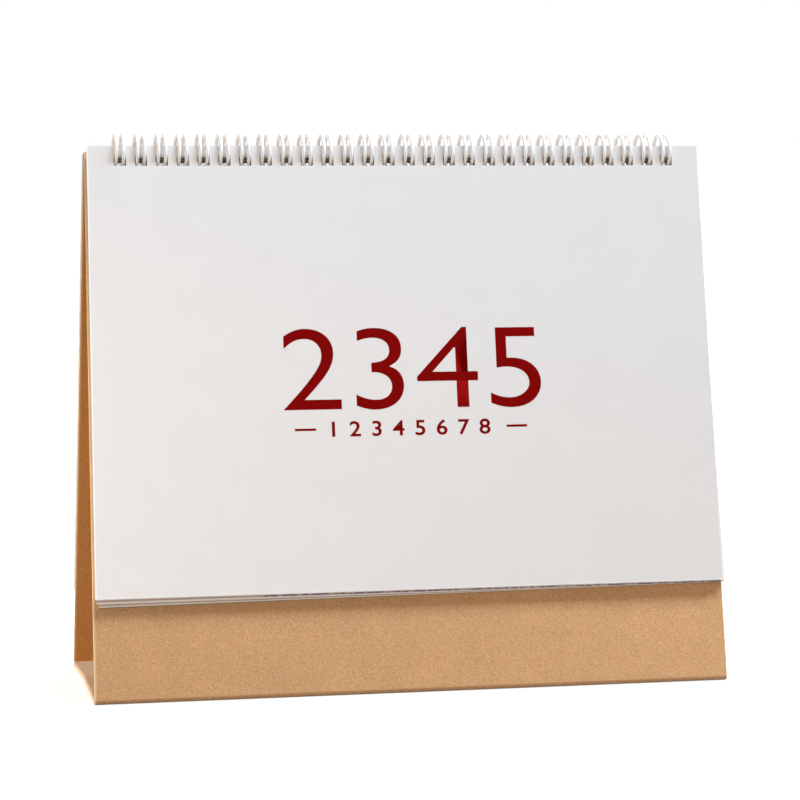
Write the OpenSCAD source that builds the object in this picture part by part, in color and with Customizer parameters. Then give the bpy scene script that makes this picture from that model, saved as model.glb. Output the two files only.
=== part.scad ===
// Desk calendar: a folded card easel, a twin-loop wire, twelve month leaves, a cover and a turned leaf.
// Millimetres, +Z up, the front faces -Y, and the origin is at the middle of the footprint.

/* [Easel board] */
// Width of the board, across the calendar
easel_w = 256.4; // [150:0.1:400]
// Front or back panel, from the inner corner of its bottom fold to its top edge
panel_l = 216.5; // [120:0.5:320]
// Depth of the foot, over both bottom folds
base_d = 89; // [50:0.5:160]
// Thickness of the board
board_t = 1.8; // [1:0.1:3]
// Gap between the panels' inner top edges
top_gap = 1.1; // [0.6:0.1:4]
// Height of the raised crease along the middle of the base
crease_h = 1.8; // [0:0.1:6]
// Flat strip beside each bottom fold, which stands on the desk
foot_w = 3; // [2:0.5:12]
// Depth of the score line on top of the crease
score_t = 0.5; // [0.2:0.1:0.8]

/* [Twin-loop wire] */
// Least distance from the cover's side edge to the middle of the first loop
binding_end = 13; // [8:0.5:30]
// Distance from one double loop to the next, three to the inch
pitch = 8.467; // [6.35:0.001:8.467]
// Outside diameter of the closed loops
ring_od = 15.2; // [13:0.1:19]
// Diameter of the coated wire
wire_d = 1.4; // [0.8:0.05:1.5]
// Distance between the two wires of a loop, centre to centre
wire_gap = 2.9; // [2.6:0.1:3.4]
// Middle of the loops above the panels' top edges, measured along a panel
ring_up = 0.3; // [0:0.1:1.5]
// Where the loops' rounded tips start, as an angle ahead of the lowest point
tip_angle = 18; // [12:1:26]
// Where the loops' roots bend down, as an angle behind the lowest point
root_angle = 14; // [10:1:20]
// Turn that leads down to the roots
root_turn = 60; // [30:1:75]
// Growth of the wire at the knuckles where its bends meet
knuckle = 0.1; // [0.06:0.02:0.2]

/* [Punched holes] */
// Width of a hole
hole_w = 5; // [4.6:0.1:6]
// Height of a hole
hole_h = 4.4; // [4:0.1:6]
// Strip left between a sheet's top edge and its holes
hole_margin = 3.75; // [2.5:0.05:6]

/* [Leaves] */
// Clear gap between neighbouring bodies of paper and board
sheet_gap = 0.15; // [0.1:0.05:0.4]
// Board that shows at each side of the cover
cover_margin = 0.6; // [0:0.1:10]
// Board that shows below the cover
cover_bare = 38.35; // [20:0.05:70]
// Thickness of the cover card
cover_t = 0.3; // [0.2:0.05:0.6]
// Cover's top edge above the middle of the loops
cover_up = 1.55; // [0:0.05:3]
// Number of month leaves
leaves = 12; // [4:1:16]
// Thickness of one month leaf
leaf_t = 0.23; // [0.12:0.01:0.24]
// Board beside each edge of a month leaf that hangs in the middle
leaf_margin = 0.5; // [0:0.1:10]
// Board below a month leaf that hangs straight
leaf_bare = 37.5; // [20:0.1:70]
// Month leaves' top right corner above the middle of the loops
leaf_up = 0.2; // [-1.5:0.05:1.5]
// Lowest edge of the month leaves' holes, below the middle of the loops
leaf_hole_low = 7.4; // [7:0.1:9]
// Month leaves' slip to the right in their loose holes
leaf_slip = 0.2; // [-0.3:0.1:0.3]
// Turn of the rearmost month leaf in its loose holes
leaf_fan = 0.55; // [0:0.05:0.8]
// Turned leaf's reach past the board at each side, when it hangs in the middle
turned_over = 0.1; // [0:0.1:1]
// Turned leaf's slip in its loose holes, to the left as the front is seen
turned_slip = 0.3; // [-0.3:0.1:0.3]
// Board below the turned leaf
turned_bare = 30.8; // [20:0.1:70]
// Turned leaf's top edge below the middle of the loops
turned_down = 1.4; // [0:0.1:1.5]

/* [Display] */
// Smoothness of the curves
$fn = 48; // [24:8:96]

/* [Hidden] */

kraft = [0.78, 0.62, 0.46];
paper_white = [0.92, 0.92, 0.92];
wire_white = [0.95, 0.95, 0.95];
leaf_tint = [0.90, 0.87, 0.84];

// The panels lean together: the inner faces run from the bottom folds to the top gap.
fold_y = base_d / 2 - board_t;
lean = asin((fold_y - top_gap / 2) / panel_l);
top_z = board_t + panel_l * cos(lean);

// Places along a panel's outward normal, measured from the middle of the loops.
board_n = (top_gap / 2 - ring_up * sin(lean)) / cos(lean);
board_out = board_n + board_t;
leaves_n = board_out + sheet_gap;
cover_n = leaves_n + leaves * leaf_t + sheet_gap;

// Height of the middle of the loops, on the mid-plane of the easel.
ring_z = top_z - board_n * sin(lean) + ring_up * cos(lean);
ring_r = (ring_od - wire_d) / 2;

// The leaves take their widths from the board's, and their heights from the panel's.
cover_w = easel_w - 2 * cover_margin;
leaf_w = easel_w - 2 * leaf_margin;
turned_w = easel_w + 2 * turned_over;
cover_l = cover_up + ring_up + panel_l - cover_bare;
leaf_l = leaf_up + ring_up + panel_l - leaf_bare;
turned_l = ring_up + panel_l - turned_bare - turned_down;

// As many double loops as the cover has room for.
loops = floor((cover_w - 2 * binding_end) / pitch) + 1;

// The rearmost leaf reaches farthest to the right, the turned leaf to the left.
leaves_right = leaf_w / 2 + leaf_slip;
reach_right = max(easel_w / 2, leaves_right + leaf_l * sin(leaf_fan));
reach_left = max(easel_w / 2, turned_w / 2 + turned_slip);
centre_x = (reach_right - reach_left) / 2;

// Cuts run past a face by this much.
past = 1;
// Steps of a bottom fold's outer curve.
fold_steps = 8;
// A bend ends this far inside its knuckle.
knuckle_gap = 0.1;

// Children are drawn with x to the right, y up the panel and z out of it, from the middle of the loops.
module on_panel(back = false)
{
    translate([-centre_x, 0, ring_z])
        rotate([0, 0, back ? 180 : 0])
            rotate([90 - lean, 0, 0])
                children();
}

// Row of punches, whose top edge is at y, through z_low to z_high.
module punches(y, height, z_low, z_high)
{
    for (i = [0 : loops - 1])
        translate([(i - (loops - 1) / 2) * pitch - hole_w / 2, y - height, z_low])
            cube([hole_w, height, z_high - z_low]);
}

// Point (y, z) of the front panel's section, n out of the panel and v up it from the middle of the loops.
function panel_point(n, v) =
    [v * sin(lean) - n * cos(lean), ring_z + n * sin(lean) + v * cos(lean)];

// The same outline behind the mid-plane, read backwards; its last point may lie on the mid-plane.
function behind(points, last) =
    [for (i = [last : -1 : 0]) [-points[i][0], points[i][1]]];

// The board's section is one closed outline: down its outside to the back, then along its inside.
module board_section()
{
    inner_fold = [-fold_y, board_t];
    slope = crease_h / (fold_y - foot_w);
    outer_curve = [for (i = [0 : fold_steps])
        let (a = 180 - lean + (90 + lean) * i / fold_steps)
        inner_fold + board_t * [cos(a), sin(a)]];
    outside = concat([panel_point(board_out, -ring_up)], outer_curve,
        [[-fold_y + foot_w, 0], [0, crease_h]]);
    inside = [panel_point(board_n, -ring_up), inner_fold, [-fold_y + foot_w, board_t],
        [-score_t, board_t + crease_h - slope * score_t], [0, board_t + crease_h - score_t]];
    back_outside = behind(outside, len(outside) - 2);
    back_inside = [for (p = inside) [-p[0], p[1]]];
    front_inside = [for (i = [len(inside) - 2 : -1 : 0]) inside[i]];
    polygon(concat(outside, back_outside, back_inside, front_inside));
}

// One sheet of kraft board, folded twice at the foot, with a crease along the base.
module easel()
{
    color(kraft)
        difference() {
            translate([-easel_w / 2 - centre_x, 0, 0])
                rotate([90, 0, 90])
                    linear_extrude(easel_w)
                        board_section();
            for (back = [false, true])
                on_panel(back)
                    punches(-ring_up - hole_margin, hole_h, board_n - past, board_out + past);
        }
}

// Bent wire: a turn of the given angle and radius, starting at the origin and heading along +X.
module wire_bend(radius, angle)
{
    trim = knuckle_gap / radius * 180 / PI;
    translate([0, radius, 0])
        rotate([0, 0, trim - 90])
            rotate_extrude(angle = angle - 2 * trim)
                translate([radius, 0])
                    circle(d = wire_d);
}

// Places children where the wire is at an angle from the loops' lowest point, heading backwards at 0.
module at_ring(angle)
{
    translate([0, 0, ring_z])
        rotate([angle, 0, 0])
            translate([0, 0, -ring_r])
                children();
}

// One wire of a loop, from its root at the back, over the top, to its rounded tip.
module loop_wire()
{
    at_ring(root_angle)
        rotate([90, 0, 90])
            wire_bend(ring_r, 360 - root_angle - tip_angle);
    for (angle = [root_angle, -tip_angle])
        at_ring(angle)
            sphere(d = wire_d + knuckle);
}

// Half turn across the calendar, between wires at x = 0 and x = span, heading along +Y.
module half_turn(span)
{
    rotate([0, 0, 90])
        mirror([0, 1, 0])
            wire_bend(span / 2, 180);
}

// The wire's rounded tip, which lies inside the easel behind the front panel's hole.
module loop_tip()
{
    at_ring(-tip_angle)
        translate([-wire_gap / 2, 0, 0])
            half_turn(wire_gap);
}

// The root that leads from one loop to the next, bent down inside the easel.
module loop_root()
{
    at_ring(root_angle)
        translate([wire_gap / 2, 0, 0])
            rotate([root_turn, 0, 0])
                mirror([0, 1, 0])
                    half_turn(pitch - wire_gap);
}

// One length of coated wire, bent into a double loop at every hole.
module twin_loop_wire()
{
    color(wire_white)
        for (i = [0 : loops - 1])
            translate([(i - (loops - 1) / 2) * pitch - centre_x, 0, 0]) {
                for (side = [-1, 1])
                    translate([side * wire_gap / 2, 0, 0])
                        loop_wire();
                loop_tip();
                if (i < loops - 1)
                    loop_root();
            }
}

// Twelve leaves, each turned a little farther in its loose holes than the one in front of it.
module month_leaves()
{
    color(leaf_tint)
        on_panel()
            difference() {
                for (k = [1 : leaves])
                    translate([leaves_right, leaf_up, leaves_n + (leaves - k) * leaf_t])
                        rotate([0, 0, leaf_fan * k / leaves])
                            translate([-leaf_w, -leaf_l, 0])
                                cube([leaf_w, leaf_l, leaf_t]);
                punches(hole_h - leaf_hole_low, hole_h, leaves_n - past, cover_n + past);
            }
}

// The front cover card.
module cover_leaf()
{
    color(paper_white)
        on_panel()
            difference() {
                translate([-cover_w / 2, cover_up - cover_l, cover_n])
                    cube([cover_w, cover_l, cover_t]);
                punches(cover_up - hole_margin, hole_h, cover_n - past, cover_n + cover_t + past);
            }
}

// A leaf that has been turned over the loops and hangs behind the easel.
module turned_leaf()
{
    color(paper_white)
        on_panel(true)
            difference() {
                translate([turned_slip - turned_w / 2, -turned_down - turned_l, leaves_n])
                    cube([turned_w, turned_l, cover_t]);
                punches(-turned_down - hole_margin, hole_h, leaves_n - past, leaves_n + cover_t + past);
            }
}

easel();
twin_loop_wire();
month_leaves();
cover_leaf();
turned_leaf();
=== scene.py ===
import math
from collections import namedtuple

import bpy
from bpy.props import FloatProperty, FloatVectorProperty, IntProperty, PointerProperty
from mathutils import Matrix, Vector


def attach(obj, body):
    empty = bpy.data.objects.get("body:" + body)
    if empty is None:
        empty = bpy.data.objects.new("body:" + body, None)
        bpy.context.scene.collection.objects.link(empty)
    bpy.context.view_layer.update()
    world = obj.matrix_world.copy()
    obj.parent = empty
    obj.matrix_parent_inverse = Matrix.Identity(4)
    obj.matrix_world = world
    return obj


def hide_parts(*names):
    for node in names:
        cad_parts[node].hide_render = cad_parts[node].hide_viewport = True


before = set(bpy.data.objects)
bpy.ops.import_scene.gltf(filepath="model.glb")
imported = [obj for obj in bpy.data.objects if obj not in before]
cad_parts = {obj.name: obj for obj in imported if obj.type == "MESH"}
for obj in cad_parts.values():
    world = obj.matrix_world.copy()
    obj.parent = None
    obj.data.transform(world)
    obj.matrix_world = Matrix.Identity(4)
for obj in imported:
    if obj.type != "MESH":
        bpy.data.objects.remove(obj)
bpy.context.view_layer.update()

bl_info = {
    "name": "Tent desk calendar",
    "version": (1, 0, 0),
    "blender": (4, 5, 0),
    "location": "View3D > Sidebar > Calendar",
    "description": "Dresses a tent desk calendar: kraft easel, coated wire, paper leaves and print",
    "category": "Object",
}

MM = 0.001

# Sizes of the construction, in metres, as the solids have them.
EASEL_W = 256.4 * MM
BASE_D = 89.0 * MM
PANEL_L = 216.5 * MM
BOARD_T = 1.8 * MM
TOP_GAP = 1.1 * MM
RING_UP = 0.3 * MM
BINDING_END = 13.0 * MM
PITCH = 8.467 * MM
RING_OD = 15.2 * MM
WIRE_D = 1.4 * MM
WIRE_GAP = 2.9 * MM
TIP_ANGLE = math.radians(18)
ROOT_ANGLE = math.radians(14)
ROOT_TURN = math.radians(60)
SHEET_GAP = 0.15 * MM
COVER_MARGIN = 0.6 * MM
COVER_BARE = 38.35 * MM
COVER_T = 0.3 * MM
COVER_UP = 1.55 * MM
LEAVES = 12
LEAF_T = 0.23 * MM
LEAF_MARGIN = 0.5 * MM
LEAF_BARE = 37.5 * MM
LEAF_UP = 0.2 * MM
LEAF_SLIP = 0.2 * MM
LEAF_FAN = math.radians(0.55)
TURNED_OVER = 0.1 * MM
TURNED_SLIP = 0.3 * MM

# Sizes that follow from them.
COVER_W = EASEL_W - 2 * COVER_MARGIN
COVER_L = COVER_UP + RING_UP + PANEL_L - COVER_BARE
LEAF_W = EASEL_W - 2 * LEAF_MARGIN
LEAF_L = LEAF_UP + RING_UP + PANEL_L - LEAF_BARE
TURNED_W = EASEL_W + 2 * TURNED_OVER
LOOPS = math.floor((COVER_W - 2 * BINDING_END) / PITCH) + 1
FOLD_Y = BASE_D / 2 - BOARD_T
LEAN = math.asin((FOLD_Y - TOP_GAP / 2) / PANEL_L)
BOARD_N = (TOP_GAP / 2 - RING_UP * math.sin(LEAN)) / math.cos(LEAN)
LEAVES_N = BOARD_N + BOARD_T + SHEET_GAP
COVER_N = LEAVES_N + LEAVES * LEAF_T + SHEET_GAP
RING_Z = (BOARD_T + PANEL_L * math.cos(LEAN) - BOARD_N * math.sin(LEAN)
          + RING_UP * math.cos(LEAN))
RING_R = (RING_OD - WIRE_D) / 2
REACH_RIGHT = LEAF_W / 2 + LEAF_SLIP + LEAF_L * math.sin(LEAF_FAN)
REACH_LEFT = TURNED_W / 2 + TURNED_SLIP
CENTRE_X = (REACH_RIGHT - REACH_LEFT) / 2

# Strip of a panel that holds the punched holes, up the panel from the loops' middle.
HOLES_LOW = -8.9 * MM
HOLES_HIGH = -1.2 * MM
# A tone on the board fades out over this much.
FADE = 0.1 * MM
# Depth of the materials' bumps.
BUMP = 0.1 * MM
# The turned leaf's tint starts to fade at the first height and is gone at the second.
TINT_TOP = 85 * MM
TINT_GONE = 115 * MM
# The small violet marks start at this place along the leaves' lower edge.
MARKS_FROM = -64 * MM

# Steps of the wire's loops and of its half turns.
ARC_STEPS = 40
TURN_STEPS = 9

# Print on the cover, from the middle of the loops: places, heights and strokes.
BIG_PLACE = (3 * MM, -92 * MM, 0)
BIG_STRETCH = 1.175
BIG_OFFSET = -0.25 * MM
SMALL_H = 6.2 * MM
SMALL_STRETCH = 1.15
SMALL_OFFSET = 0.14 * MM
SMALL_PITCH = 8.9 * MM
ROW_Y = -114.45 * MM
DASH_SIZE = (8.6 * MM, 0.95 * MM)
DASH_X = 43.5 * MM
DASH_SHIFT = (1 * MM, 0.35 * MM)

# Print on a month leaf.
RULE_SIZE = (226 * MM, 0.4 * MM)
RULE_Y = -45 * MM
HEADING_H = 22 * MM
HEADING_PLACE = (-104 * MM, -28 * MM, 0)
DAYS = 31
DAY_H = 6.5 * MM
FIRST_COLUMN = 4
COLUMN_W = 34 * MM
FIRST_ROW_Y = -57 * MM
ROW_H = 23 * MM

# Tones of the materials, in sRGB.
BOARD_SPECK = "#B67F4D"
BOARD_FIBRE = "#DFB486"
BOARD_CUT = "#DDBB93"
BOARD_INNER_SHADE = "#FFE6AC"
BOARD_BASE_SHADE = "#BA8A4C"
WIRE_LOW = "#F1F0F1"
WIRE_HIGH = "#FAFAFA"
CARD_LOW = "#E5E3E4"
CARD_HIGH = "#EAE8E9"
CARD_WARM = "#FFFBF9"
CARD_TRIM = "#FDFCFD"
LEAF_LOW = "#E9E6E4"
LEAF_HIGH = "#F0EEEC"
LEAF_COVER_SHADOW = "#A98270"
LEAF_MARKS = "#5A3F66"
TURNED_LOW = "#F3F5F5"
TURNED_HIGH = "#F8F9F9"
TURNED_TINT = "#D5E7EE"
RED_INK = "#800000"
GREY_INK = "#4A4644"
FLOOR_TONE = "#928C83"
WHITE = (1, 1, 1, 1)

# Colour of the leaves' lower edges, counted from the rear leaf.
EDGE_BANDS = ((0, "#57552C"), (2, "#F1F1EA"), (5, "#CFA595"), (8, "#F6F4F2"), (12, "#F3F0EE"))

# Sockets of a Mix node: two colours and their result, and two vectors and theirs.
COLOUR_A, COLOUR_B, COLOUR_OUT = 6, 7, 2
VECTOR_A, VECTOR_B, VECTOR_OUT = 4, 5, 1

# The stage: a plane whose rear part runs far back, just under the object.
FLOOR_SIZE = 16
FLOOR_PLACE = (0, 5, -0.0002)
# How white the floor looks to the camera: at the first distance or nearer, and at the second.
FLOOR_NEAR, FLOOR_FAR = 0.3, 1.6
GLOW_NEAR, GLOW_FAR = 0.80, 0.96
# The room's light, and how bright the room looks to the camera and in reflections.
ROOM_LIGHT, ROOM_SEEN = 0.18, 1.0
ROOM_TINT = (1.08, 1.0, 0.91, 1)

# A share is a part of the key lamp's power; a size is width and height.
Lamp = namedtuple("Lamp", "name place aim size share tint spread")
LAMPS = (
    # A long cool strip, high on the right.
    Lamp("key_lamp", (1.68, -0.42, 2.06), (1.68, 0, 0.11), (3.0, 0.5), 1.0, (0.89, 1.0, 1.08), 180),
    # A warm lamp in front, on the left.
    Lamp("front_lamp", (-1.21, -1.76, 0.66), (0, 0, 0.11), (1.0, 1.0), 0.075, (1.22, 1.0, 0.84),
         180),
    # A lamp for the back.
    Lamp("back_lamp", (0.9, 1.9, 1.1), (0, 0, 0.11), (1.2, 1.2), 0.28, (1.0, 1.0, 1.0), 180),
    # A small card beside the easel's left end, which lights its inside.
    Lamp("side_card", (-0.46, -0.03, 0.12), (-0.10, 0.01, 0.05), (0.16, 0.16), 0.0020,
         (1.08, 1.0, 0.88), 60),
)

# The camera is level, bar a slight dip, and turned to the right. Its frame is shifted down.
CAMERA_PLACE = (-0.2374, -1.1293, 0.2134)
CAMERA_DIP = 0.11
CAMERA_TURN = -11.94
CAMERA_SHIFT = -0.3
SENSOR_MM = 36
FOCAL_PIXELS = 2801.2
PICTURE_PIXELS = 800


def panel_matrix(back=False):
    """Frame of a panel: x to the right, y up it and z out of it, from the middle of the loops."""
    turn = Matrix.Rotation(math.pi, 4, "Z") if back else Matrix.Identity(4)
    return (Matrix.Translation((-CENTRE_X, 0, RING_Z)) @ turn
            @ Matrix.Rotation(math.pi / 2 - LEAN, 4, "X"))


# ---------------------------------------------------------------- materials

def hex_linear(code):
    """Linear colour of an sRGB hex code."""
    parts = [int(code[i:i + 2], 16) / 255 for i in (1, 3, 5)]
    return tuple(p / 12.92 if p <= 0.04045 else ((p + 0.055) / 1.055) ** 2.4
                 for p in parts) + (1.0,)


def add_node(tree, kind, inputs=None, **settings):
    """Adds a node, with its settings, and gives its inputs a value, a socket or a node's output."""
    node = tree.nodes.new(kind)
    for name, value in settings.items():
        setattr(node, name, value)
    for socket, source in (inputs or {}).items():
        if isinstance(source, bpy.types.Node):
            source = source.outputs[0]
        if isinstance(source, bpy.types.NodeSocket):
            tree.links.new(source, node.inputs[socket])
        else:
            node.inputs[socket].default_value = source
    return node


def new_material(name, settings):
    """A material with a Principled shader, which has plain values and reaches the output."""
    mat = bpy.data.materials.new(name)
    mat.use_nodes = True
    tree = mat.node_tree
    tree.nodes.clear()
    shader = add_node(tree, "ShaderNodeBsdfPrincipled", settings)
    add_node(tree, "ShaderNodeOutputMaterial", {"Surface": shader})
    return mat, tree, shader


def panel_places(tree, coords):
    """Places x, y and z, and places up the front panel and out of it, from the loops' middle."""
    x, y, z = add_node(tree, "ShaderNodeSeparateXYZ", {0: coords}).outputs
    height = add_node(tree, "ShaderNodeMath", {0: z, 1: -RING_Z}, operation="ADD")
    rise = add_node(tree, "ShaderNodeMath", {0: height, 1: math.cos(LEAN)}, operation="MULTIPLY")
    up = add_node(tree, "ShaderNodeMath", {0: y, 1: math.sin(LEAN), 2: rise},
                  operation="MULTIPLY_ADD")
    slope = add_node(tree, "ShaderNodeMath", {0: height, 1: math.sin(LEAN)}, operation="MULTIPLY")
    out = add_node(tree, "ShaderNodeMath", {0: y, 1: -math.cos(LEAN), 2: slope},
                   operation="MULTIPLY_ADD")
    return {"x": x, "y": y, "z": z, "slope": slope, "up": up, "out": out}


def kraft_board(props):
    """Uncoated kraft board, rolled from brown fibre: matt and speckled, with paler raw edges."""
    # Loose fibre ends give a faint sheen where the light comes from the side.
    mat, tree, shader = new_material(
        "kraft_board_uncoated", {"Roughness": 0.9, "Specular IOR Level": 0.15,
                                 "Sheen Weight": 0.3, "Sheen Roughness": 0.6})
    coords = add_node(tree, "ShaderNodeTexCoord").outputs["Object"]
    at = panel_places(tree, coords)
    # Cloudy formation of the pulp, about 15 mm across, and specks of fibre of half a millimetre.
    cloud = add_node(tree, "ShaderNodeTexNoise",
                     {"Vector": coords, "Scale": 70.0, "Detail": 3.0, "Roughness": 0.6})
    speck = add_node(tree, "ShaderNodeTexNoise",
                     {"Vector": coords, "Scale": 2000.0, "Detail": 2.0, "Roughness": 0.7})
    paleness = add_node(tree, "ShaderNodeMapRange", {0: speck, 1: 0.28, 2: 0.72})
    pulp = add_node(tree, "ShaderNodeMix",
                    {0: paleness, COLOUR_A: hex_linear(BOARD_SPECK),
                     COLOUR_B: hex_linear(BOARD_FIBRE)}, data_type="RGBA")
    grain = add_node(tree, "ShaderNodeMapRange", {0: cloud, 1: 0.3, 2: 0.7, 3: 0.96, 4: 1.04})
    # Single fibres, a few millimetres long and darker than the rest, lie in all directions.
    warp = add_node(tree, "ShaderNodeTexNoise", {"Vector": coords, "Scale": 120.0})
    bent = add_node(tree, "ShaderNodeMix",
                    {0: 0.012, VECTOR_A: coords, VECTOR_B: warp.outputs["Color"]},
                    data_type="VECTOR")
    ridges = add_node(tree, "ShaderNodeTexNoise",
                      {"Vector": bent.outputs[VECTOR_OUT], "Scale": 420.0, "Detail": 1.0})
    ridge = add_node(tree, "ShaderNodeMath", {0: ridges, 1: 0.5, 2: 0.004}, operation="COMPARE")
    chance = add_node(tree, "ShaderNodeMapRange", {0: cloud, 1: 0.56, 2: 0.6, 3: 0.0, 4: 0.10})
    darker = add_node(tree, "ShaderNodeMath", {0: ridge, 1: chance}, operation="MULTIPLY")
    fibres = add_node(tree, "ShaderNodeMath", {0: 1.0, 1: darker}, operation="SUBTRACT")
    # Painted shade: the board darkens a little towards its left end.
    across = add_node(tree, "ShaderNodeMapRange",
                      {0: at["x"], 1: -EASEL_W / 2, 2: EASEL_W / 2, 3: 0.93, 4: 1.07})
    # Painted shade: the outer curve of each bottom fold, just above the floor, is darker.
    depth = add_node(tree, "ShaderNodeMath", {0: at["y"]}, operation="ABSOLUTE")
    outer = add_node(tree, "ShaderNodeMapRange",
                     {0: depth, 1: BASE_D / 2 - 1.6 * MM, 2: BASE_D / 2 - 0.8 * MM})
    low = add_node(tree, "ShaderNodeMapRange",
                   {0: at["z"], 1: 0.25 * MM, 2: 0.65 * MM, 3: 1.0, 4: 0.0})
    fold_foot = add_node(tree, "ShaderNodeMath", {0: outer, 1: low}, operation="MULTIPLY")
    fold_shade = add_node(tree, "ShaderNodeMapRange", {0: fold_foot, 3: 1.0, 4: 0.5})
    # Painted shade: the board inside the punched holes is darker.
    past_back = add_node(tree, "ShaderNodeMapRange",
                         {0: at["out"], 1: BOARD_N + FADE / 2, 2: BOARD_N + 1.5 * FADE})
    past_face = add_node(tree, "ShaderNodeMapRange",
                         {0: at["out"], 1: BOARD_N + BOARD_T - 1.5 * FADE,
                          2: BOARD_N + BOARD_T - FADE / 2, 3: 1.0, 4: 0.0})
    above = add_node(tree, "ShaderNodeMapRange", {0: at["up"], 1: HOLES_LOW - FADE, 2: HOLES_LOW})
    below = add_node(tree, "ShaderNodeMapRange",
                     {0: at["up"], 1: HOLES_HIGH, 2: HOLES_HIGH + FADE, 3: 1.0, 4: 0.0})
    punched = past_back
    for part in (past_face, above, below):
        punched = add_node(tree, "ShaderNodeMath", {0: punched, 1: part}, operation="MULTIPLY")
    hole_shade = add_node(tree, "ShaderNodeMapRange", {0: punched, 3: 1.0, 4: 0.35})
    tone = grain
    for part in (fibres, across, fold_shade, hole_shade):
        tone = add_node(tree, "ShaderNodeMath", {0: tone, 1: part}, operation="MULTIPLY")
    mottled = add_node(tree, "ShaderNodeVectorMath",
                       {0: pulp.outputs[COLOUR_OUT], "Scale": tone}, operation="SCALE")
    # Painted light and shade: the panels' inner faces get a warmer, deeper tint, standing for the
    # warm light that bounces inside the easel.
    inward = add_node(tree, "ShaderNodeMath", {0: depth, 1: math.cos(LEAN), 2: at["slope"]},
                      operation="MULTIPLY_ADD")
    near = add_node(tree, "ShaderNodeMapRange",
                    {0: inward, 1: BOARD_N + 3 * FADE, 2: BOARD_N + 5 * FADE, 3: 1.0, 4: 0.0})
    far = add_node(tree, "ShaderNodeMapRange",
                   {0: inward, 1: BOARD_N - 5 * FADE, 2: BOARD_N - 3 * FADE})
    inner_faces = add_node(tree, "ShaderNodeMath", {0: near, 1: far}, operation="MULTIPLY")
    inner_tint = add_node(tree, "ShaderNodeMix",
                      {0: inner_faces, COLOUR_A: WHITE, COLOUR_B: hex_linear(BOARD_INNER_SHADE)},
                      data_type="RGBA")
    raw = add_node(tree, "ShaderNodeVectorMath", {0: mottled, 1: inner_tint.outputs[COLOUR_OUT]},
                   operation="MULTIPLY")
    # Painted shade: the base's upper face, inside the easel, gets a flat, deep tone of its own in
    # place of the mottled one. Its fibres shine over it at a flat angle.
    raised = add_node(tree, "ShaderNodeMapRange",
                      {0: at["z"], 1: 0.5 * BOARD_T, 2: 0.6 * BOARD_T})
    between = add_node(tree, "ShaderNodeMapRange",
                       {0: inward, 1: BOARD_N - 8 * FADE, 2: BOARD_N - 5 * FADE, 3: 1.0, 4: 0.0})
    base = add_node(tree, "ShaderNodeMath", {0: raised, 1: between}, operation="MULTIPLY")
    base_shaded = add_node(tree, "ShaderNodeMix",
                     {0: base, COLOUR_A: raw, COLOUR_B: hex_linear(BOARD_BASE_SHADE)},
                     data_type="RGBA")
    # The cut edges show the board's paler heart, and on the left the pale band runs a little onto
    # the face.
    left_end = -EASEL_W / 2 - CENTRE_X
    right_end = EASEL_W / 2 - CENTRE_X
    left = add_node(tree, "ShaderNodeMapRange",
                    {0: at["x"], 1: left_end + 0.3 * props.rim_w, 2: left_end + props.rim_w,
                     3: 1.0, 4: 0.0})
    right = add_node(tree, "ShaderNodeMapRange", {0: at["x"], 1: right_end - FADE, 2: right_end})
    rim = add_node(tree, "ShaderNodeMath", {0: left, 1: right}, operation="MAXIMUM")
    edged = add_node(tree, "ShaderNodeMix",
                     {0: rim, COLOUR_A: base_shaded.outputs[COLOUR_OUT],
                      COLOUR_B: hex_linear(BOARD_CUT)}, data_type="RGBA")
    bump = add_node(tree, "ShaderNodeBump", {"Strength": 0.2, "Distance": BUMP, "Height": speck})
    tree.links.new(edged.outputs[COLOUR_OUT], shader.inputs["Base Color"])
    tree.links.new(bump.outputs[0], shader.inputs["Normal"])
    return mat


def coated_wire():
    """Steel wire in a white nylon coat, drawn and bent: smooth and fairly glossy."""
    mat, tree, shader = new_material(
        "nylon_coated_steel_wire", {"Roughness": 0.28, "Coat Weight": 0.5,
                                    "Coat Roughness": 0.12})
    coords = add_node(tree, "ShaderNodeTexCoord").outputs["Object"]
    # The coat is worn a little unevenly, in patches of about 2 mm.
    wear = add_node(tree, "ShaderNodeTexNoise", {"Vector": coords, "Scale": 420.0, "Detail": 2.0})
    tint = add_node(tree, "ShaderNodeMix",
                    {0: wear, COLOUR_A: hex_linear(WIRE_LOW), COLOUR_B: hex_linear(WIRE_HIGH)},
                    data_type="RGBA")
    bump = add_node(tree, "ShaderNodeBump", {"Strength": 0.05, "Distance": BUMP, "Height": wear})
    tree.links.new(tint.outputs[COLOUR_OUT], shader.inputs["Base Color"])
    tree.links.new(bump.outputs[0], shader.inputs["Normal"])
    return mat


def paper(name, low, high):
    """Uncoated offset paper or card: a faint cloudy formation and a very fine tooth."""
    mat, tree, shader = new_material(name, {"Roughness": 0.7, "Specular IOR Level": 0.2})
    coords = add_node(tree, "ShaderNodeTexCoord").outputs["Object"]
    cloud = add_node(tree, "ShaderNodeTexNoise",
                     {"Vector": coords, "Scale": 55.0, "Detail": 4.0, "Roughness": 0.55})
    tooth = add_node(tree, "ShaderNodeTexNoise", {"Vector": coords, "Scale": 1500.0, "Detail": 2.0})
    tint = add_node(tree, "ShaderNodeMix",
                    {0: cloud, COLOUR_A: hex_linear(low), COLOUR_B: hex_linear(high)},
                    data_type="RGBA")
    bump = add_node(tree, "ShaderNodeBump", {"Strength": 0.06, "Distance": BUMP, "Height": tooth})
    tree.links.new(bump.outputs[0], shader.inputs["Normal"])
    return mat, tree, shader, coords, tint.outputs[COLOUR_OUT]


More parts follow.
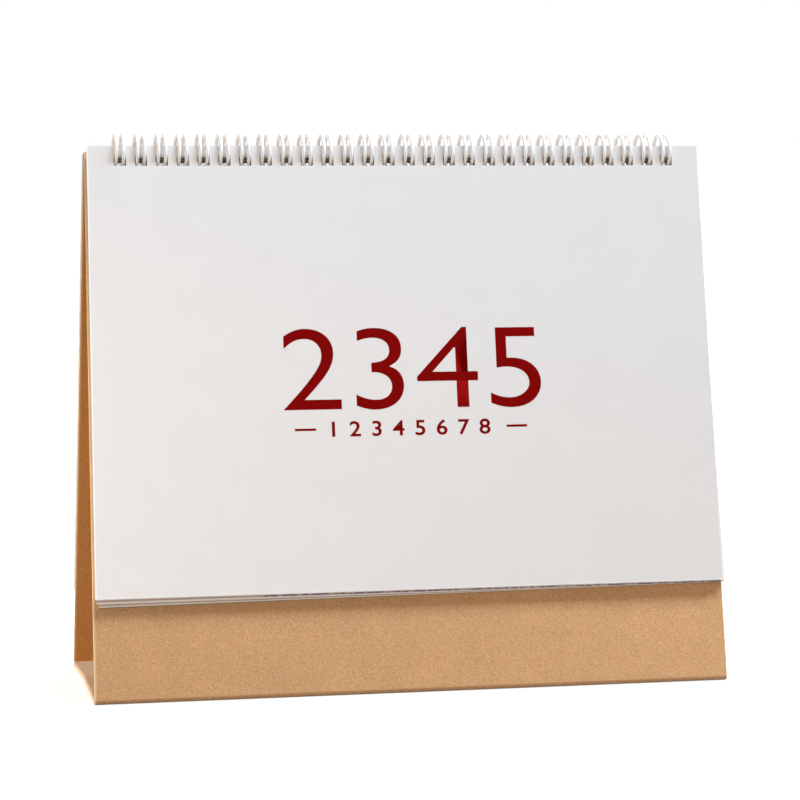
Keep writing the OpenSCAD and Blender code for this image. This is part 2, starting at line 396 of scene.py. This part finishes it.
def cover_card():
    """Smooth white card: matt, with painted shade that darkens it towards its right end, a little
    warmer towards its foot, and with a brighter band along its left edge and foot.
    """
    mat, tree, shader, coords, tint = paper("smooth_white_card", CARD_LOW, CARD_HIGH)
    at = panel_places(tree, coords)
    foot_at = COVER_UP - COVER_L
    left_end = -COVER_W / 2 - CENTRE_X
    # Painted shade: the card darkens towards its right end.
    across = add_node(tree, "ShaderNodeMapRange",
                      {0: at["x"], 1: -COVER_W / 2, 2: COVER_W / 2, 3: 1.045, 4: 0.935})
    down = add_node(tree, "ShaderNodeMapRange", {0: at["up"], 1: foot_at, 2: COVER_UP})
    warmth = add_node(tree, "ShaderNodeMix",
                      {0: down, COLOUR_A: hex_linear(CARD_WARM), COLOUR_B: WHITE},
                      data_type="RGBA")
    toned = add_node(tree, "ShaderNodeVectorMath", {0: tint, "Scale": across}, operation="SCALE")
    warm = add_node(tree, "ShaderNodeVectorMath", {0: toned, 1: warmth.outputs[COLOUR_OUT]},
                    operation="MULTIPLY")
    left = add_node(tree, "ShaderNodeMapRange",
                    {0: at["x"], 1: left_end + 0.45 * MM, 2: left_end + 0.65 * MM,
                     3: 1.0, 4: 0.0})
    foot = add_node(tree, "ShaderNodeMapRange",
                    {0: at["up"], 1: foot_at + 0.2 * MM, 2: foot_at + 0.4 * MM, 3: 0.8, 4: 0.0})
    trim = add_node(tree, "ShaderNodeMath", {0: left, 1: foot}, operation="MAXIMUM")
    edged = add_node(tree, "ShaderNodeMix",
                     {0: trim, COLOUR_A: warm, COLOUR_B: hex_linear(CARD_TRIM)},
                     data_type="RGBA")
    tree.links.new(edged.outputs[COLOUR_OUT], shader.inputs["Base Color"])
    return mat


def month_paper():
    """The month leaves' paper, with the coloured print that bleeds off the leaves' lower edges, and
    a painted shadow of the cover along the front leaf's foot.
    """
    mat, tree, shader, coords, tint = paper("offset_paper_printed_leaves", LEAF_LOW, LEAF_HIGH)
    at = panel_places(tree, coords)
    # The middle of each leaf's own thickness, from 0 at the rear leaf to 1 at the front one.
    deep = add_node(tree, "ShaderNodeMapRange",
                    {0: at["out"], 1: LEAVES_N - 0.5 * LEAF_T,
                     2: LEAVES_N + (LEAVES + 0.5) * LEAF_T})
    ramp = add_node(tree, "ShaderNodeValToRGB", {"Fac": deep})
    ramp.color_ramp.interpolation = "CONSTANT"
    steps = LEAVES + 1
    while len(ramp.color_ramp.elements) < len(EDGE_BANDS):
        ramp.color_ramp.elements.new(1.0)
    for element, (leaf, colour) in zip(ramp.color_ramp.elements, EDGE_BANDS):
        element.position = leaf / steps
        element.color = hex_linear(colour)
    # Along the front leaf's foot: a thin brown line of painted shadow, which the cover's edge
    # casts, and a row of small violet marks to the right.
    foot = LEAF_UP - LEAF_L
    front = add_node(tree, "ShaderNodeMapRange",
                     {0: deep, 1: (LEAVES - 0.1) / steps, 2: LEAVES / steps})
    lowest = add_node(tree, "ShaderNodeMapRange",
                      {0: at["up"], 1: foot + 0.45 * MM, 2: foot + 0.6 * MM, 3: 1.0, 4: 0.0})
    # The front leaf's lowest strip, which carries the painted shadow and the marks.
    rule = add_node(tree, "ShaderNodeMath", {0: lowest, 1: front}, operation="MULTIPLY")
    cover_shadow = add_node(tree, "ShaderNodeMath", {0: rule, 1: 0.8}, operation="MULTIPLY")
    shadowed = add_node(tree, "ShaderNodeMix",
                     {0: cover_shadow, COLOUR_A: ramp, COLOUR_B: hex_linear(LEAF_COVER_SHADOW)},
                     data_type="RGBA")
    # Marks about 1.5 mm long, of uneven strength.
    row = add_node(tree, "ShaderNodeTexNoise", {"Vector": coords, "Scale": 520.0, "Detail": 1.0})
    marks = add_node(tree, "ShaderNodeMapRange", {0: row, 1: 0.46, 2: 0.52})
    to_right = add_node(tree, "ShaderNodeMapRange",
                        {0: at["x"], 1: MARKS_FROM, 2: MARKS_FROM + 4 * MM, 3: 0.0, 4: 0.9})
    for part in (rule, to_right):
        marks = add_node(tree, "ShaderNodeMath", {0: marks, 1: part}, operation="MULTIPLY")
    marked = add_node(tree, "ShaderNodeMix",
                      {0: marks, COLOUR_A: shadowed.outputs[COLOUR_OUT],
                       COLOUR_B: hex_linear(LEAF_MARKS)}, data_type="RGBA")
    print_and_shadow_foot = add_node(tree, "ShaderNodeMapRange",
                     {0: at["up"], 1: foot + 0.9 * MM, 2: foot + 1.1 * MM, 3: 0.9, 4: 0.0})
    mixed = add_node(tree, "ShaderNodeMix",
                     {0: print_and_shadow_foot, COLOUR_A: tint, COLOUR_B: marked.outputs[COLOUR_OUT]},
                     data_type="RGBA")
    tree.links.new(mixed.outputs[COLOUR_OUT], shader.inputs["Base Color"])
    return mat


def turned_paper():
    """The turned leaf's paper: white above, with a pale blue tint printed over its lower part."""
    mat, tree, shader, coords, tint = paper("offset_paper_tinted_leaf", TURNED_LOW, TURNED_HIGH)
    at = panel_places(tree, coords)
    blue = add_node(tree, "ShaderNodeMapRange",
                    {0: at["z"], 1: TINT_TOP, 2: TINT_GONE, 3: 1.0, 4: 0.0})
    tinted = add_node(tree, "ShaderNodeMix",
                      {0: blue, COLOUR_A: tint, COLOUR_B: hex_linear(TURNED_TINT)},
                      data_type="RGBA")
    tree.links.new(tinted.outputs[COLOUR_OUT], shader.inputs["Base Color"])
    return mat


def printing_ink(name, colour):
    """Offset ink: a thin film on paper, dry and matt, and a little uneven."""
    mat, tree, shader = new_material(name, {"Roughness": 0.8, "Specular IOR Level": 0.05})
    coords = add_node(tree, "ShaderNodeTexCoord").outputs["Object"]
    film = add_node(tree, "ShaderNodeTexNoise", {"Vector": coords, "Scale": 700.0, "Detail": 2.0})
    density = add_node(tree, "ShaderNodeMapRange", {0: film, 3: 0.9, 4: 1.08})
    tone = add_node(tree, "ShaderNodeVectorMath", {0: colour[:3], "Scale": density},
                    operation="SCALE")
    tree.links.new(tone.outputs[0], shader.inputs["Base Color"])
    return mat


def dress(obj, mat):
    """Gives an object one material in place of all that it had."""
    obj.data.materials.clear()
    obj.data.materials.append(mat)


# ---------------------------------------------------------------- modelling helpers

def deselect():
    """Leaves nothing selected."""
    for obj in bpy.context.selected_objects:
        obj.select_set(False)


def settle(obj, matrix):
    """Places an object by its mesh, so that the object itself stays at the origin."""
    obj.data.transform(matrix)
    obj.matrix_world = Matrix.Identity(4)


def join_all(pieces, name):
    """Joins mesh objects into one and names it."""
    deselect()
    for piece in pieces:
        piece.select_set(True)
    bpy.context.view_layer.objects.active = pieces[0]
    bpy.ops.object.join()
    joined = bpy.context.view_layer.objects.active
    joined.name = name
    joined.data.name = name
    return joined


def figure(text, height, stretch=1.0, bold=0.0):
    """Plain numerals as a flat mesh, centred, height metres tall."""
    deselect()
    bpy.ops.object.text_add(location=(0, 0, 0))
    obj = bpy.context.object
    obj.data.body = text
    obj.data.align_x = "CENTER"
    obj.data.align_y = "CENTER"
    # The font's numerals are about 0.73 of its size.
    obj.data.size = height / 0.73
    obj.data.offset = bold
    obj.data.resolution_u = 8
    bpy.ops.object.convert(target="MESH")
    obj = bpy.context.object
    settle(obj, Matrix.Diagonal((stretch, 1, 1, 1)))
    return obj


def bar(size, x, y):
    """A flat printed rule, centred at x, y."""
    deselect()
    bpy.ops.mesh.primitive_plane_add(size=1, location=(0, 0, 0))
    obj = bpy.context.object
    settle(obj, Matrix.Translation((x, y, 0)) @ Matrix.Diagonal((*size, 1, 1)))
    return obj


# ---------------------------------------------------------------- properties

class CalendarSizes(bpy.types.PropertyGroup):
    """Sizes and colours that a user would change."""
    rim_w: FloatProperty(name="Pale rim", default=0.9 * MM, unit="LENGTH",
                         description="Width of the pale rim at the board's cut edges")
    wire_sides: IntProperty(name="Wire steps", description="Steps of the wire's round section",
                            default=3, min=1, max=6)
    ink_lift: FloatProperty(name="Ink lift", default=0.02 * MM, unit="LENGTH",
                            description="Height of the printed film over the paper")
    numeral_h: FloatProperty(name="Numeral height", description="Height of the large numerals",
                             default=35 * MM, unit="LENGTH")
    cover_ink: FloatVectorProperty(name="Cover ink", description="Colour of the print on the cover",
                                   subtype="COLOR", size=4, min=0, max=1,
                                   default=hex_linear(RED_INK))
    lamp_power: FloatProperty(name="Key lamp", description="Power of the large soft lamp",
                              default=119.0, min=0)


# ---------------------------------------------------------------- operators

class CALENDAR_OT_easel(bpy.types.Operator):
    """Finishes the folded easel in uncoated kraft board"""
    bl_idname = "calendar.easel"
    bl_label = "Kraft easel"

    def execute(self, context):
        dress(bpy.data.objects["easel"], kraft_board(context.scene.calendar_sizes))
        return {"FINISHED"}


class CALENDAR_OT_leaves(bpy.types.Operator):
    """Finishes the cover, the month leaves and the turned leaf in paper"""
    bl_idname = "calendar.leaves"
    bl_label = "Paper leaves"

    def execute(self, context):
        dress(bpy.data.objects["month_leaves"], month_paper())
        dress(bpy.data.objects["cover_leaf"], cover_card())
        dress(bpy.data.objects["turned_leaf"], turned_paper())
        return {"FINISHED"}


def on_ring(angle, x):
    """A place on a loop, at an angle from its lowest point towards the back."""
    return Vector((x, RING_R * math.sin(angle), RING_Z - RING_R * math.cos(angle)))


def half_turn(start, end, heading):
    """Points between two places on a half circle that first heads in a direction."""
    middle, half = (start + end) / 2, (end - start).length / 2
    across = (start - middle).normalized()
    angles = (math.pi * i / TURN_STEPS for i in range(1, TURN_STEPS))
    return [middle + half * (across * math.cos(a) + heading * math.sin(a)) for a in angles]


def wire_path():
    """Points along the whole wire: root to tip to root of each loop in turn."""
    points = []
    sweep = 2 * math.pi - ROOT_ANGLE - TIP_ANGLE
    angles = [ROOT_ANGLE + sweep * k / ARC_STEPS for k in range(ARC_STEPS + 1)]
    tip_heading = Vector((0, math.cos(TIP_ANGLE), -math.sin(TIP_ANGLE)))
    slope = ROOT_ANGLE + ROOT_TURN
    root_heading = Vector((0, -math.cos(slope), -math.sin(slope)))
    for i in range(LOOPS):
        x = (i - (LOOPS - 1) / 2) * PITCH - CENTRE_X
        left = [on_ring(a, x - WIRE_GAP / 2) for a in angles]
        right = [on_ring(a, x + WIRE_GAP / 2) for a in reversed(angles)]
        points += left + half_turn(left[-1], right[0], tip_heading) + right
        if i < LOOPS - 1:
            after = on_ring(ROOT_ANGLE, x + PITCH - WIRE_GAP / 2)
            points += half_turn(right[-1], after, root_heading)
    return points


class CALENDAR_OT_wire(bpy.types.Operator):
    """Bends one length of coated wire into the double loops"""
    bl_idname = "calendar.wire"
    bl_label = "Twin-loop wire"

    def execute(self, context):
        sizes = context.scene.calendar_sizes
        points = wire_path()
        deselect()
        bpy.ops.curve.primitive_bezier_curve_add(location=(0, 0, 0))
        wire = context.object
        wire.name = "binding_wire"
        curve = wire.data
        curve.name = "binding_wire"
        curve.dimensions = "3D"
        curve.bevel_depth = WIRE_D / 2
        curve.bevel_resolution = sizes.wire_sides
        curve.use_fill_caps = True
        curve.splines.clear()
        spline = curve.splines.new("POLY")
        spline.points.add(len(points) - 1)
        for point, place in zip(spline.points, points):
            point.co = (*place, 1)
        bpy.ops.object.convert(target="MESH")
        wire = context.object
        bpy.ops.object.shade_smooth()
        dress(wire, coated_wire())
        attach(wire, "stand")
        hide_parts("twin_loop_wire")
        return {"FINISHED"}


class CALENDAR_OT_cover_print(bpy.types.Operator):
    """Prints plain large numerals and a row of small ones between two dashes on the cover"""
    bl_idname = "calendar.cover_print"
    bl_label = "Cover print"

    def execute(self, context):
        sizes = context.scene.calendar_sizes
        big = figure("2345", sizes.numeral_h, BIG_STRETCH, BIG_OFFSET)
        settle(big, Matrix.Translation(BIG_PLACE))
        pieces = [big]
        for k in range(8):
            small = figure(str(k + 1), SMALL_H, SMALL_STRETCH, SMALL_OFFSET)
            settle(small, Matrix.Translation(((k - 3.5) * SMALL_PITCH, ROW_Y, 0)))
            pieces.append(small)
        for side in (-1, 1):
            pieces.append(bar(DASH_SIZE, side * DASH_X + DASH_SHIFT[0], ROW_Y + DASH_SHIFT[1]))
        print_obj = join_all(pieces, "cover_numerals")
        settle(print_obj, panel_matrix()
               @ Matrix.Translation((0, 0, COVER_N + COVER_T + sizes.ink_lift)))
        dress(print_obj, printing_ink("offset_ink_dark_red", sizes.cover_ink))
        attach(print_obj, "cover")
        return {"FINISHED"}


def month_grid(name):
    """A plain month sheet: a heading numeral, a rule and the days' numbers in seven columns."""
    heading = figure("1", HEADING_H)
    settle(heading, Matrix.Translation(HEADING_PLACE))
    pieces = [bar(RULE_SIZE, 0, RULE_Y), heading]
    for day in range(DAYS):
        row, column = divmod(day + FIRST_COLUMN, 7)
        number = figure(str(day + 1), DAY_H)
        settle(number, Matrix.Translation(((column - 3) * COLUMN_W, FIRST_ROW_Y - row * ROW_H, 0)))
        pieces.append(number)
    return join_all(pieces, name)


class CALENDAR_OT_month_print(bpy.types.Operator):
    """Prints a plain month on the first month leaf and on the turned leaf"""
    bl_idname = "calendar.month_print"
    bl_label = "Month print"

    def execute(self, context):
        lift = context.scene.calendar_sizes.ink_lift
        ink = printing_ink("offset_ink_dark_grey", hex_linear(GREY_INK))
        front = month_grid("first_month_numbers")
        settle(front, panel_matrix()
               @ Matrix.Translation((LEAF_SLIP, 0, LEAVES_N + LEAVES * LEAF_T + lift)))
        dress(front, ink)
        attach(front, "months")
        back = month_grid("turned_leaf_numbers")
        settle(back, panel_matrix(True) @ Matrix.Translation((0, 0, LEAVES_N + COVER_T + lift)))
        dress(back, ink)
        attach(back, "turned")
        return {"FINISHED"}


def seen_directly(tree):
    """A node that is 1 where the camera, a reflection or a see-through thing sees the surface."""
    path = add_node(tree, "ShaderNodeLightPath")
    seen = add_node(tree, "ShaderNodeMath", {0: path.outputs["Is Camera Ray"],
                                             1: path.outputs["Is Glossy Ray"]},
                    operation="MAXIMUM")
    return add_node(tree, "ShaderNodeMath", {0: seen, 1: path.outputs["Is Transmission Ray"]},
                    operation="MAXIMUM")


def add_floor():
    """A matt floor that gives back little light, but looks white to the camera."""
    deselect()
    bpy.ops.mesh.primitive_plane_add(size=FLOOR_SIZE, location=(0, 0, 0))
    floor = bpy.context.object
    floor.name = "studio_floor"
    settle(floor, Matrix.Translation(FLOOR_PLACE))
    mat, tree, shader = new_material(
        "matt_white_floor", {"Base Color": hex_linear(FLOOR_TONE), "Roughness": 0.9,
                             "Emission Color": WHITE})
    # A little less white round the object, where its shadow falls.
    coords = add_node(tree, "ShaderNodeTexCoord").outputs["Object"]
    away = add_node(tree, "ShaderNodeVectorMath", {0: coords}, operation="LENGTH")
    level = add_node(tree, "ShaderNodeMapRange",
                     {0: away.outputs["Value"], 1: FLOOR_NEAR, 2: FLOOR_FAR,
                      3: GLOW_NEAR, 4: GLOW_FAR})
    strength = add_node(tree, "ShaderNodeMath", {0: seen_directly(tree), 1: level},
                        operation="MULTIPLY")
    tree.links.new(strength.outputs[0], shader.inputs["Emission Strength"])
    dress(floor, mat)


def add_room():
    """A faintly warm room, white only where the camera or a reflection sees it."""
    world = bpy.data.worlds.new("studio_world")
    bpy.context.scene.world = world
    world.use_nodes = True
    tree = world.node_tree
    tree.nodes.clear()
    seen = seen_directly(tree)
    level = add_node(tree, "ShaderNodeMapRange", {0: seen, 3: ROOM_LIGHT, 4: ROOM_SEEN})
    tint = add_node(tree, "ShaderNodeMix", {0: seen, COLOUR_A: ROOM_TINT, COLOUR_B: WHITE},
                    data_type="RGBA")
    room = add_node(tree, "ShaderNodeBackground",
                    {"Color": tint.outputs[COLOUR_OUT], "Strength": level})
    add_node(tree, "ShaderNodeOutputWorld", {"Surface": room})


def add_lamp(lamp, power):
    """One area lamp of the list, of a share of the key lamp's power."""
    deselect()
    bpy.ops.object.light_add(type="AREA", location=lamp.place)
    obj = bpy.context.object
    obj.name = lamp.name
    obj.data.shape = "RECTANGLE"
    obj.data.size, obj.data.size_y = lamp.size
    obj.data.energy = power * lamp.share
    obj.data.color = lamp.tint
    obj.data.spread = math.radians(lamp.spread)
    facing = Vector(lamp.aim) - Vector(lamp.place)
    obj.rotation_euler = facing.to_track_quat("-Z", "Y").to_euler()


def add_camera():
    """The camera that the photograph was taken with."""
    deselect()
    bpy.ops.object.camera_add(location=CAMERA_PLACE)
    camera = bpy.context.object
    camera.name = "photo_camera"
    camera.rotation_euler = (math.radians(90 - CAMERA_DIP), 0, math.radians(CAMERA_TURN))
    camera.data.sensor_width = SENSOR_MM
    camera.data.lens = FOCAL_PIXELS / PICTURE_PIXELS * SENSOR_MM
    camera.data.shift_y = CAMERA_SHIFT
    camera.data.clip_start = 0.05
    camera.data.clip_end = 30
    bpy.context.scene.camera = camera


class CALENDAR_OT_stage(bpy.types.Operator):
    """Sets the pale floor, the soft lamps and the camera"""
    bl_idname = "calendar.stage"
    bl_label = "Studio"

    def execute(self, context):
        add_floor()
        add_room()
        for lamp in LAMPS:
            add_lamp(lamp, context.scene.calendar_sizes.lamp_power)
        add_camera()
        context.scene.view_settings.view_transform = "Standard"
        return {"FINISHED"}


class CALENDAR_PT_panel(bpy.types.Panel):
    """Lists the calendar's sizes and its operators"""
    bl_label = "Desk calendar"
    bl_idname = "CALENDAR_PT_panel"
    bl_space_type = "VIEW_3D"
    bl_region_type = "UI"
    bl_category = "Calendar"

    def draw(self, context):
        sizes = context.scene.calendar_sizes
        for name in ("rim_w", "wire_sides", "ink_lift", "numeral_h", "cover_ink", "lamp_power"):
            self.layout.prop(sizes, name)
        for operator in OPERATORS:
            self.layout.operator(operator.bl_idname)


OPERATORS = (CALENDAR_OT_easel, CALENDAR_OT_leaves, CALENDAR_OT_wire, CALENDAR_OT_cover_print,
             CALENDAR_OT_month_print, CALENDAR_OT_stage)
CLASSES = (CalendarSizes,) + OPERATORS + (CALENDAR_PT_panel,)


def register():
    for cls in CLASSES:
        bpy.utils.register_class(cls)
    bpy.types.Scene.calendar_sizes = PointerProperty(type=CalendarSizes)


def unregister():
    del bpy.types.Scene.calendar_sizes
    for cls in reversed(CLASSES):
        bpy.utils.unregister_class(cls)


def main():
    register()
    bpy.ops.calendar.easel()
    bpy.ops.calendar.leaves()
    bpy.ops.calendar.wire()
    bpy.ops.calendar.cover_print()
    bpy.ops.calendar.month_print()
    bpy.ops.calendar.stage()


if __name__ == "__main__":
    main()
